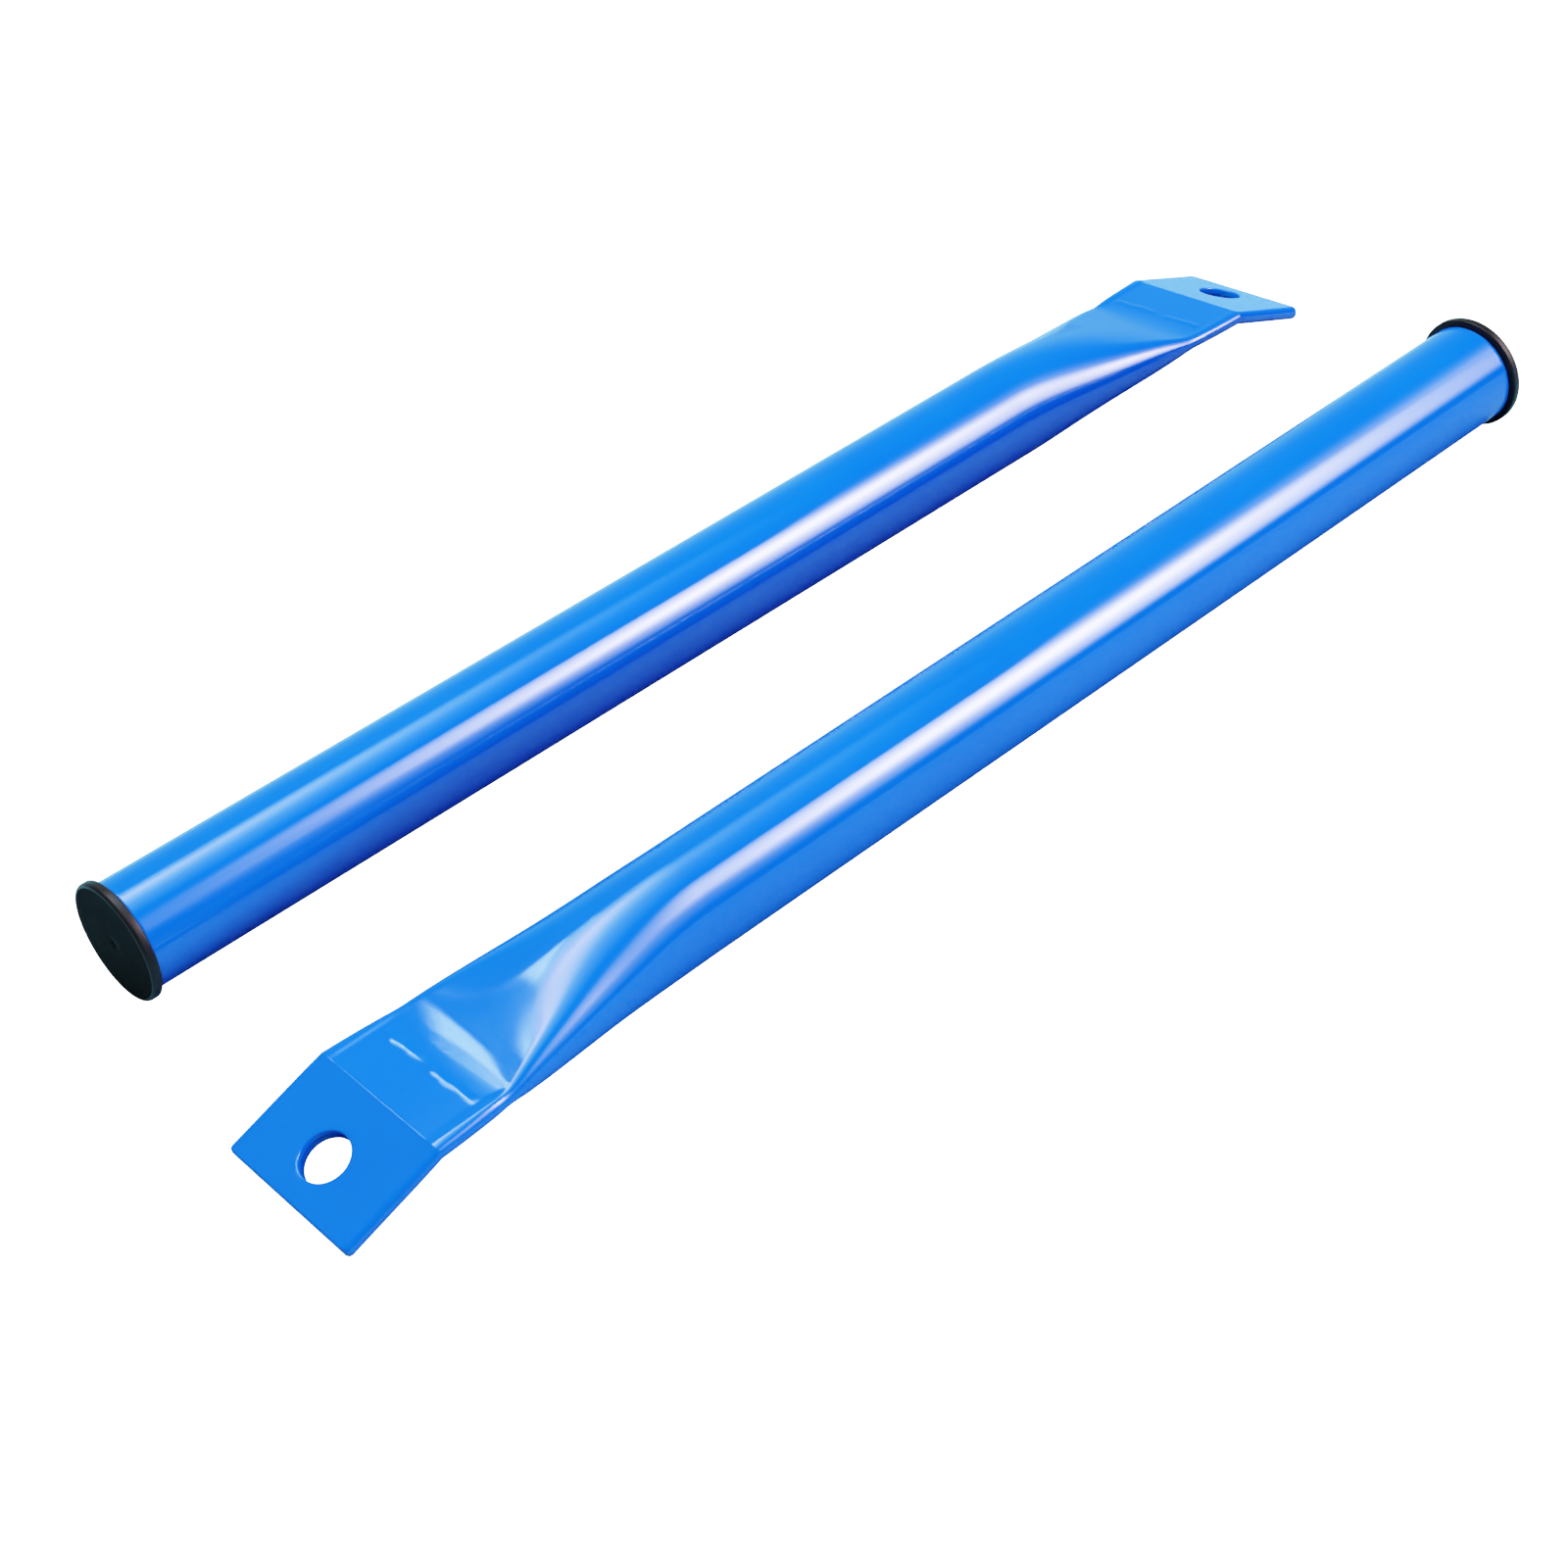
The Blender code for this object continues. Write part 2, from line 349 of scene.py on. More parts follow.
@dataclass(frozen=True)
class Stance:
    """Where a bar's own frame stands: its origin at the tube's open end, +X along the tube to the tab."""

    open_end: tuple[float, float, float]
    heading: float
    dip: float
    roll: float

    def matrix(self) -> Matrix:
        """The bar's frame in the row frame."""
        turned = Matrix.Rotation(self.heading, 4, "Z") @ Matrix.Rotation(self.dip, 4, "Y")
        return Matrix.Translation(self.open_end) @ turned @ Matrix.Rotation(self.roll, 4, "X")


@dataclass
class PressedTube:
    """The steel tube: round, crushed, flat, bent, and cut square, with a hole through its tab."""

    side: Side
    diameter: float = 0.0254
    wall: float = 0.0015
    round_length: float = 0.2660
    crush_length: float = 0.0630
    head_fillet: float = 0.0400
    foot_fillet: float = 0.0100
    flare_start: float = 0.2620
    flare_length: float = 0.0870
    rounded_until: float = 0.2790
    flat_from: float = 0.3220
    flat_length: float = 0.0121
    tab_length: float = 0.0252
    tab_angle: float = radians(20)
    bend_radius: float = 0.0022
    bend_crispness: float = 0.96
    settle: float = 0.001
    slit: float = 0.0003
    seam: float = 0.00008
    corner_limit: float = 0.92
    corner_radius: float = 0.0012
    edge_radius: float = 0.00045
    lip_radius: float = 0.0007
    fold_arc: float = radians(18)
    hole_diameter: float = 0.011
    hole_from_bend: float = 0.0144
    hole_lip: float = 0.00035
    drill_reach: float = 4.0
    drill_clearance: float = 0.00002
    marks_lead: float = 0.010
    marks_rise: float = 0.009
    marks_run_out: float = 0.004
    marks_fall: float = 0.006
    bead_inset: float = 0.0026
    bead_width: float = 0.0010
    bead_height: float = 0.00025
    far_bead_share: float = 0.3
    press_step: float = 0.00018
    press_width: float = 0.0007
    press_offset: float = 0.0002
    press_waves: tuple[tuple[float, float, float], ...] = ((0.00025, 420.0, 0.0), (0.00012, 1130.0, 1.1))
    press_inset: float = 0.0045
    press_fade: float = 0.0015
    press_gap: float = 0.85
    press_gap_middle: float = -0.001
    press_gap_width: float = 0.0022
    heel_depth: float = 0.0003
    heel_before_line: float = 0.0058
    heel_width: float = 0.003
    heel_middle: float = -0.003
    sharp_angle: float = radians(35)
    flat_weight: int = 60
    crowding: float = 1.3
    lip_steps: int = 6
    round_steps: int = 12
    fold_steps: int = 20
    face_steps: int = 84
    crush_steps: int = 96
    flat_steps: int = 26
    bend_steps: int = 16
    tab_steps: int = 10
    corner_steps: int = 10
    edge_steps: int = 5
    hole_steps: int = 96
    hole_lip_steps: int = 6
    piece: bpy.types.Object | None = field(default=None, init=False)

    @property
    def radius(self) -> float:
        """The tube's outer radius."""
        return self.diameter / 2

    @property
    def tab_width(self) -> float:
        """The tube's girth pressed flat."""
        return pi * (self.diameter - 2 * self.wall) / 2 + 2 * self.wall

    @property
    def half_height(self) -> float:
        """Half the thickness of the pressed tube."""
        return self.wall + self.slit / 2

    @property
    def press_line(self) -> float:
        """How far along the tube it is flat from."""
        return self.round_length + self.crush_length + self.settle

    @property
    def bend_start(self) -> float:
        """How far along the tube the bend's arc starts."""
        return self.press_line + self.flat_length - self.bend_radius * tan(self.tab_angle / 2)

    @property
    def cut_end(self) -> float:
        """How far along its middle line the tube is cut off."""
        setback = self.bend_radius * tan(self.tab_angle / 2)
        return self.bend_start + self.bend_radius * self.tab_angle + self.tab_length - setback

    def angles(self) -> list[float]:
        """Where round the tube the section's points stand.

        Returns:
            Angles from the side towards +Y, turning up, closest together in the two folds.
        """
        found = []
        for half in (0.0, pi):
            for step in range(self.fold_steps):
                found.append(half - self.fold_arc + 2 * self.fold_arc * step / self.fold_steps)
            for step in range(self.face_steps):
                share = step / self.face_steps
                found.append(half + self.fold_arc + (pi - 2 * self.fold_arc) * share)
        return found

    def pressed(self, along: float) -> tuple[float, float]:
        """How wide and how high the crushed tube is.

        Args:
            along: Distance from the open end.

        Returns:
            Half the width and half the height of the outer skin.
        """
        run = self.crush_length
        head, foot = self.head_fillet / run, self.foot_fillet / run
        share = min(max((along - self.round_length) / run, 0.0), 1.0)
        if share < head:
            fallen = share * share / (2 * head)
        elif share <= 1 - foot:
            fallen = share - head / 2
        else:
            fallen = 1 - head / 2 - foot / 2 - (1 - share) ** 2 / (2 * foot)
        fallen /= 1 - head / 2 - foot / 2
        half_height = self.radius - (self.radius - self.half_height) * fallen
        flare = smoothstep((along - self.flare_start) / self.flare_length)
        return max(self.radius + (self.tab_width / 2 - self.radius) * flare, half_height), half_height

    def press_marks(self, along: float, across: float) -> float:
        """How far the flat's face stands proud of true: beads by the folds, the press's mark and its heel.

        Args:
            along: Distance from the open end.
            across: Distance from the middle, sideways.

        Returns:
            A height, in metres.
        """
        side = self.tab_width / 2
        zone = smoothstep((along - self.press_line + self.marks_lead) / self.marks_rise) * smoothstep(
            (self.bend_start + self.marks_run_out - along) / self.marks_fall
        )
        bead = self.bead_height * zone * bump_at(abs(across), side - self.bead_inset, self.bead_width)
        bead *= 1.0 if across > 0 else self.far_bead_share
        line = self.press_line + self.press_offset
        for sway, waves, phase in self.press_waves:
            line += sway * sin(across * waves + phase)
        kept = smoothstep((side - self.press_inset - abs(across)) / self.press_fade)
        kept *= 1 - self.press_gap * bump_at(across, self.press_gap_middle, self.press_gap_width)
        mark = self.press_step * kept * bump_at(along, line, self.press_width)
        heel = bump_at(along, self.press_line - self.heel_before_line, self.heel_width)
        off_middle = (across - self.heel_middle) * 2 / self.tab_width
        return bead + mark - self.heel_depth * heel * off_middle**2

    def section(self, along: float, skin: Skin) -> list[tuple[float, float]]:
        """One skin's section at a distance along: an oval that turns into flats joined by half rounds.

        Args:
            along: Distance from the open end.
            skin: The outer or the inner skin.

        Returns:
            Points across and above the middle line.
        """
        half_width, half_height = self.pressed(along)
        core = half_width - half_height
        radius = half_height if skin is Skin.OUTER else max(half_height - self.wall, self.seam / 2)
        quarter = core + pi * radius / 2
        oval = 1 - smoothstep((along - self.rounded_until) / (self.flat_from - self.rounded_until))
        points = []
        for angle in self.angles():
            lean = atan2(sin(angle), abs(cos(angle)))
            travel = abs(lean) / (pi / 2) * quarter
            if travel < pi * radius / 2:
                across, height = core + radius * cos(travel / radius), radius * sin(travel / radius)
            else:
                across, height = quarter - travel, radius
            across += oval * ((core + radius) * cos(lean) - across)
            height += oval * (radius * abs(sin(lean)) - height)
            across *= 1 if cos(angle) >= 0 else -1
            if skin is Skin.OUTER:
                height += self.press_marks(along, across)
            points.append((across, height if lean >= 0 else -height))
        return points

    def stations(self) -> list[tuple[float, float, float]]:
        """Where the rings stand.

        Returns:
            For each ring its distance along, how far the rounded corners pull its sides in, and how far
            its rounded edge pulls it in all round.
        """
        rings = []
        for step in range(self.lip_steps + 1):
            turn = pi / 2 * step / self.lip_steps
            rings.append((self.lip_radius * (1 - cos(turn)), 0.0, self.lip_radius * (1 - sin(turn))))
        for step in range(1, self.round_steps + 1):
            reach = (self.round_length - self.lip_radius) * step / self.round_steps
            rings.append((self.lip_radius + reach, 0.0, 0.0))
        for step in range(1, self.crush_steps + 1):
            share = 1 - (1 - step / self.crush_steps) ** self.crowding
            rings.append((self.round_length + self.crush_length * share, 0.0, 0.0))
        for step in range(1, self.flat_steps + 1):
            gap = self.bend_start - self.press_line
            rings.append((self.press_line + gap * (step / self.flat_steps) ** self.crowding, 0.0, 0.0))
        for step in range(1, self.bend_steps + 1):
            arc = self.bend_radius * self.tab_angle
            rings.append((self.bend_start + arc * step / self.bend_steps, 0.0, 0.0))
        tab_start = self.bend_start + self.bend_radius * self.tab_angle
        corner_start = self.cut_end - self.corner_radius
        for step in range(1, self.tab_steps):
            rings.append((tab_start + (corner_start - tab_start) * step / self.tab_steps, 0.0, 0.0))
        for step in range(self.corner_steps + 1):
            along = corner_start + (self.corner_radius - self.edge_radius) * step / self.corner_steps
            rings.append((along, self.corner_pull(along), 0.0))
        for step in range(1, self.edge_steps + 1):
            turn = pi / 2 * step / self.edge_steps
            along = self.cut_end - self.edge_radius * (1 - sin(turn))
            rings.append((along, self.corner_pull(along), self.edge_radius * (1 - cos(turn))))
        return rings

    def corner_pull(self, along: float) -> float:
        """How far a rounded end corner pulls the side in, at a distance along the tube."""
        past = max((along - self.cut_end + self.corner_radius) / self.corner_radius, 0.0)
        past = min(past, self.corner_limit)
        return self.corner_radius * (1 - cos(asin(past)))

    def middle(self, along: float) -> tuple[Vector, float]:
        """The place and the slope of the tube's middle line.

        Args:
            along: Distance from the open end.

        Returns:
            The point, and the angle that the line dips by there.
        """
        if along <= self.bend_start:
            return Vector((along, 0, 0)), 0.0
        turn = min((along - self.bend_start) / self.bend_radius, self.tab_angle)
        reach, drop = self.bend_radius * sin(turn), self.bend_radius * (cos(turn) - 1)
        place = Vector((self.bend_start + reach, 0, drop))
        straight = along - self.bend_start - self.bend_radius * turn
        return place + straight * Vector((cos(turn), 0, -sin(turn))), turn

    def crease(self, slope: float) -> float:
        """How far the bend's outer face stands past its arc, towards a sharp corner."""
        lean = min(slope, self.tab_angle - slope)
        return self.bend_crispness * (self.bend_radius + self.half_height) * (1 / cos(lean) - 1)

    def ring(self, bm: bmesh.types.BMesh, along: float, pull: float, inset: float, skin: Skin) -> list:
        """One ring of vertices.

        Args:
            bm: The mesh that they go in.
            along: Distance from the open end.
            pull: How far the sides are pulled in.
            inset: How far the whole ring is pulled in.
            skin: The outer or the inner skin.

        Returns:
            The vertices, in order.
        """
        place, slope = self.middle(along)
        up = Vector((sin(slope), 0, cos(slope)))
        points = self.section(along, skin)
        wide, high = self.pressed(along)
        ring = []
        for y, z in points:
            y *= 1 - (pull + inset) / wide
            z *= 1 - inset / high
            if z > 0 and skin is Skin.OUTER:
                z += self.crease(slope) * min(z / high, 1.0)
            ring.append(bm.verts.new(place + Vector((0, y, 0)) + z * up))
        return ring

    def skins(self) -> bmesh.types.BMesh:
        """Builds both skins and the two rims that join them.

        Returns:
            The closed tube, not yet drilled. The bore's faces take the second material.
        """
        bm = bmesh.new()
        outer = [self.ring(bm, *place, Skin.OUTER) for place in self.stations()]
        lip = self.lip_steps + 1
        stations = enumerate(self.stations())
        inner_places = [place for index, place in stations if index < lip or index % 2 == 0]
        inner_places = [(along, pull, 0.0) for along, pull, _ in inner_places[:1] + inner_places[lip:]]
        inner_places[-1] = (self.cut_end, self.corner_pull(self.cut_end), 0.0)
        inner = [self.ring(bm, *place, Skin.INNER) for place in inner_places]
        open_rim, cut_rim = [outer[0], inner[0]], [outer[-1], inner[-1]]
        for rings, finish in ((outer, 0), (inner, 1), (open_rim, 0), (cut_rim, 0)):
            for first, second in zip(rings, rings[1:]):
                for quad in strip_between(bm, first, second):
                    quad.material_index = finish
        bmesh.ops.recalc_face_normals(bm, faces=bm.faces)
        return bm

    def drill(self) -> bpy.types.Object:
        """Builds the cutter for the bolt hole: straight, with a rounded mouth on each face.

        Returns:
            The cutter, in the tube's frame.
        """
        bm = bmesh.new()
        radius = self.hole_diameter / 2
        face, lip = self.half_height, self.hole_lip
        profile = [(-self.drill_reach * face, radius + lip), (-face - self.drill_clearance, radius + lip)]
        for step in range(1, self.hole_lip_steps + 1):
            turn = pi / 2 * step / self.hole_lip_steps
            profile.append((-face + lip * (1 - cos(turn)), radius + lip * (1 - sin(turn))))
        profile += [(-height, wide) for height, wide in reversed(profile)]
        turns = [2 * pi * step / self.hole_steps for step in range(self.hole_steps)]
        rings = [
            [bm.verts.new((wide * cos(turn), wide * sin(turn), height)) for turn in turns]
            for height, wide in profile
        ]
        for first, second in zip(rings, rings[1:]):
            strip_between(bm, first, second)
        bm.faces.new(rings[0][::-1])
        bm.faces.new(rings[-1])
        bmesh.ops.recalc_face_normals(bm, faces=bm.faces)
        bend_line = self.press_line + self.flat_length
        tab = Matrix.Translation((bend_line, 0, 0)) @ Matrix.Rotation(self.tab_angle, 4, "Y")
        spot = tab @ Matrix.Translation((self.hole_from_bend, 0, 0))
        bmesh.ops.transform(bm, matrix=spot, verts=bm.verts)
        return new_object("bolt_hole_drill", new_mesh("bolt_hole_drill", bm))

    def build(self, stance: Stance) -> bpy.types.Object:
        """Builds the tube where its bar lies.

        Args:
            stance: Where the bar lies.

        Returns:
            The tube's object.
        """
        mesh = new_mesh(f"{self.side.value}_tube_coated", self.skins())
        piece = new_object(mesh.name, mesh)
        cutter = self.drill()
        hole = piece.modifiers.new("bolt_hole", "BOOLEAN")
        hole.object = cutter
        hole.operation = "DIFFERENCE"
        hole.solver = "EXACT"
        bpy.context.view_layer.update()
        graph = bpy.context.evaluated_depsgraph_get()
        drilled = bpy.data.meshes.new_from_object(piece.evaluated_get(graph))
        piece.modifiers.clear()
        piece.data = drilled
        drilled.name = mesh.name
        bpy.data.meshes.remove(mesh)
        bpy.data.objects.remove(cutter)
        drilled.shade_smooth()
        drilled.set_sharp_from_angle(angle=self.sharp_angle)
        depths = drilled.attributes.new("depth", "FLOAT", "POINT")
        depths.data.foreach_set("value", [point.co.x for point in drilled.vertices])
        weigh = piece.modifiers.new("flat_faces_stay_flat", "WEIGHTED_NORMAL")
        weigh.keep_sharp = True
        weigh.weight = self.flat_weight
        drilled.transform(stance.matrix())
        self.piece = piece
        return piece

    def dress(self, coat: bpy.types.Material, bore: bpy.types.Material) -> None:
        """Gives the tube its coat outside and its steel inside.

        Args:
            coat: The powder coat.
            bore: The bore's steel.
        """
        self.piece.data.materials.clear()
        self.piece.data.materials.append(coat)
        self.piece.data.materials.append(bore)


@dataclass
class EndPlug:
    """The moulded plug: a thin flange with rounded rims, and a ribbed hollow sleeve in the bore."""

    side: Side
    bore_radius: float = 0.0112
    tube_radius: float = 0.0127
    overhang: float = 0.00145
    thickness: float = 0.0022
    edge_radius: float = 0.0008
    inner_edge_radius: float = 0.0005
    dish: float = 0.00012
    dish_margin: float = 0.0004
    gate_radius: float = 0.0011
    gate_floor_share: float = 0.8
    gate_depth: float = 0.00015
    gap: float = 0.00012
    sleeve_depth: float = 0.0140
    sleeve_wall: float = 0.0012
    lead_in: float = 0.0006
    ease: float = 0.0001
    hollow_floor: float = 0.0004
    hollow_fillet: float = 0.0006
    rib_count: int = 3
    rib_height: float = 0.0009
    rib_clearance: float = 0.0001
    rib_from_flange: float = 0.0024
    rib_land: float = 0.00025
    rib_draft: float = 0.00005
    rib_share: float = 0.65
    cad_gap: float = 0.0003
    sharp_angle: float = radians(38)
    dish_steps: int = 8
    rim_steps: int = 8
    inner_rim_steps: int = 6
    turn_steps: int = 120
    face_bands: int = 10
    piece: bpy.types.Object | None = field(default=None, init=False)

    def flange_profile(self) -> list[tuple[float, float]]:
        """The flange's half section, from the middle of its outer face to its inner face.

        Returns:
            Places along the axis with their radii.
        """
        face = -self.cad_gap - self.thickness
        rim = self.tube_radius + self.overhang
        flat = rim - self.edge_radius
        points = [(face + self.dish + self.gate_depth, 0.0)]
        points += [(face + self.dish + self.gate_depth, self.gate_radius * self.gate_floor_share)]
        points += [(face + self.dish, self.gate_radius)]
        for step in range(1, self.dish_steps + 1):
            depth = self.dish * (1 - smoothstep(step / self.dish_steps))
            run = (flat - self.dish_margin - self.gate_radius) * step / self.dish_steps
            points.append((face + depth, self.gate_radius + run))
        for step in range(self.rim_steps + 1):
            turn = pi / 2 * step / self.rim_steps
            out, along = self.edge_radius * sin(turn), self.edge_radius * (1 - cos(turn))
            points.append((face + along, flat + out))
        back = -self.gap
        for step in range(self.inner_rim_steps + 1):
            turn = pi / 2 * step / self.inner_rim_steps
            inset = self.inner_edge_radius * (1 - cos(turn))
            points.append((back - self.inner_edge_radius * (1 - sin(turn)), rim - inset))
        return points

    def sleeve_profile(self) -> list[tuple[float, float]]:
        """The sleeve's half section, from the flange's inner face to the bottom of its hollow.

        Returns:
            Places along the axis with their radii.
        """
        rib = self.bore_radius - self.rib_clearance
        sleeve = rib - self.rib_height
        pitch = (self.sleeve_depth - self.lead_in - self.rib_from_flange) / self.rib_count
        end = self.sleeve_depth - self.cad_gap
        points = [(-self.gap, sleeve)]
        ease, wall = self.ease, self.sleeve_wall
        for index in range(self.rib_count):
            start = -self.cad_gap + self.rib_from_flange + index * pitch
            points += [(start - ease, sleeve), (start, rib - ease), (start + ease, rib)]
            points.append((start + self.rib_land, rib - self.rib_draft))
            points.append((start + pitch * self.rib_share, sleeve))
        points += [(end - self.lead_in, sleeve), (end - ease, sleeve - self.lead_in + ease)]
        points += [(end, sleeve - self.lead_in - ease), (end, sleeve - wall + ease)]
        points += [(end - ease, sleeve - wall), (self.hollow_floor, sleeve - wall)]
        points += [(-self.cad_gap, sleeve - wall - self.hollow_fillet), (-self.cad_gap, 0.0)]
        return points

    def build(self, stance: Stance) -> bpy.types.Object:
        """Turns the plug's half section round the tube's axis.

        Args:
            stance: Where the bar lies.

        Returns:
            The plug's object.
        """
        bm = bmesh.new()
        profile = self.flange_profile() + self.sleeve_profile()
        poles = [bm.verts.new((profile[0][0], 0, 0)), bm.verts.new((profile[-1][0], 0, 0))]
        turns = [2 * pi * step / self.turn_steps for step in range(self.turn_steps)]
        rings = [
            [bm.verts.new((along, radius * cos(turn), radius * sin(turn))) for turn in turns]
            for along, radius in profile[1:-1]
        ]
        for corner in range(self.turn_steps):
            after = (corner + 1) % self.turn_steps
            bm.faces.new((poles[0], rings[0][corner], rings[0][after])).material_index = 1
            bm.faces.new((poles[1], rings[-1][after], rings[-1][corner]))
            for index, (first, second) in enumerate(zip(rings, rings[1:])):
                band = bm.faces.new((first[corner], first[after], second[after], second[corner]))
                band.material_index = 1 if index < self.face_bands else 0
        bmesh.ops.recalc_face_normals(bm, faces=bm.faces)
        mesh = new_mesh(f"{self.side.value}_plug_moulded", bm)
        mesh.shade_smooth()
        mesh.set_sharp_from_angle(angle=self.sharp_angle)
        piece = new_object(mesh.name, mesh)
        mesh.transform(stance.matrix())
        self.piece = piece
        return piece

    def dress(self, plastic: bpy.types.Material, face: bpy.types.Material) -> None:
        """Gives the plug its plastic, matt on the flange's outer face.

        Args:
            plastic: The moulded plastic.
            face: The same plastic with a sparked finish.
        """
        self.piece.data.materials.append(plastic)
        self.piece.data.materials.append(face)


@dataclass
class SwayBar:
    """One bar: its tube and its plug, lying where the frame has them."""

    side: Side
    stance: Stance

    def build(
        self,
        coat: bpy.types.Material,
        bore: bpy.types.Material,
        plastic: bpy.types.Material,
        face: bpy.types.Material,
    ) -> None:
        """Builds, dresses and mounts both pieces.

        Args:
            coat: The powder coat.
            bore: The bore's steel.
            plastic: The plug's plastic.
            face: The plastic of the plug's outer face.
        """
        name = self.side.value
        tube = PressedTube(self.side)
        tube.build(self.stance)
        tube.dress(coat, bore)
        plug = EndPlug(self.side)
        plug.build(self.stance)
        plug.dress(plastic, face)
        for maker, body, node, slot in (
            (tube, f"{name}_bar", f"{name}_tube", Slot.COAT),
            (plug, f"{name}_plug", f"{name}_end_plug", Slot.PLASTIC),
        ):
            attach(maker.piece, body)
            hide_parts(node)
            log.info("%s: %d faces, on %s", maker.piece.name, len(maker.piece.data.polygons), body)


@dataclass(frozen=True)
class BodyLamp:
    """A soft lamp that lights the colours and isn't mirrored."""

    name: str
    place: tuple[float, float, float]
    size: tuple[float, float]
    power: float
    colour: tuple[float, float, float]

    def build(self) -> None:
        """Hangs the lamp, facing the middle of the bars."""
        light = bpy.data.lights.new(self.name, "AREA")
        light.shape = "RECTANGLE"
        light.size, light.size_y = self.size
        light.energy = self.power
        light.color = self.colour
        lamp = new_object(self.name, light)
        lamp.location = self.place
        lamp.rotation_euler = (-Vector(self.place)).to_track_quat("-Z", "Y").to_euler()
        lamp.visible_glossy = False


@dataclass(frozen=True)
class GlossPanel:
    """A glowing panel that only the gloss mirrors, with its own fall-off across and up."""

    name: str
    place: tuple[float, float, float]
    aim: tuple[float, float, float]
    size: tuple[float, float]
    power: float
    tints: tuple[tuple[float, tuple[float, float, float]], ...]
    across: tuple[tuple[float, float], ...]
    upward: tuple[tuple[float, float], ...]

    def material(self) -> bpy.types.Material:
        """Builds the glow.

        Returns:
            The material.
        """
        bench = NodeBench(self.name)
        bench.tree.nodes.remove(bench.shader)
        parts = bench.add("ShaderNodeSeparateXYZ")
        bench.join(bench.add("ShaderNodeTexCoord").outputs["Object"], parts.inputs["Vector"])
        levels = []
        for axis, reach, stops in (("X", self.size[0], self.across), ("Y", self.size[1], self.upward)):
            share = bench.add("ShaderNodeMapRange")
            share.inputs["From Min"].default_value = -reach / 2
            share.inputs["From Max"].default_value = reach / 2
            bench.join(parts.outputs[axis], share.inputs["Value"])
            shades = [(place / reach + 0.5, (level, level, level, 1.0)) for place, level in stops]
            band = bench.ramp(share.outputs["Result"], *shades)
            band.color_ramp.interpolation = "CARDINAL"
            levels.append(band.outputs["Color"])
        both = bench.add("ShaderNodeMath", operation="MULTIPLY", use_clamp=True)
        bench.join(levels[0], both.inputs[0])
        bench.join(levels[1], both.inputs[1])
        power = bench.add("ShaderNodeMath", operation="MULTIPLY")
        power.inputs[1].default_value = self.power
        bench.join(both.outputs["Value"], power.inputs[0])
        tint = bench.ramp(both.outputs["Value"], *[(level, (*colour, 1.0)) for level, colour in self.tints])
        glow = bench.add("ShaderNodeEmission")
        bench.join(tint.outputs["Color"], glow.inputs["Color"])
        bench.join(power.outputs["Value"], glow.inputs["Strength"])
        bench.join(glow.outputs["Emission"], bench.tree.nodes["Material Output"].inputs["Surface"])
        return bench.material

    def build(self) -> None:
        """Hangs the panel."""
        mesh = bpy.data.meshes.new(self.name)
        wide, high = self.size[0] / 2, self.size[1] / 2
        corners = [(-wide, -high, 0), (wide, -high, 0), (wide, high, 0), (-wide, high, 0)]
        mesh.from_pydata(corners, [], [(0, 1, 2, 3)])
        mesh.materials.append(self.material())
        panel = new_object(self.name, mesh)
        panel.location = self.place
        panel.rotation_euler = (Vector(self.aim) - Vector(self.place)).to_track_quat("-Z", "Y").to_euler()
        panel.visible_camera = False
        panel.visible_diffuse = False
        panel.visible_shadow = False


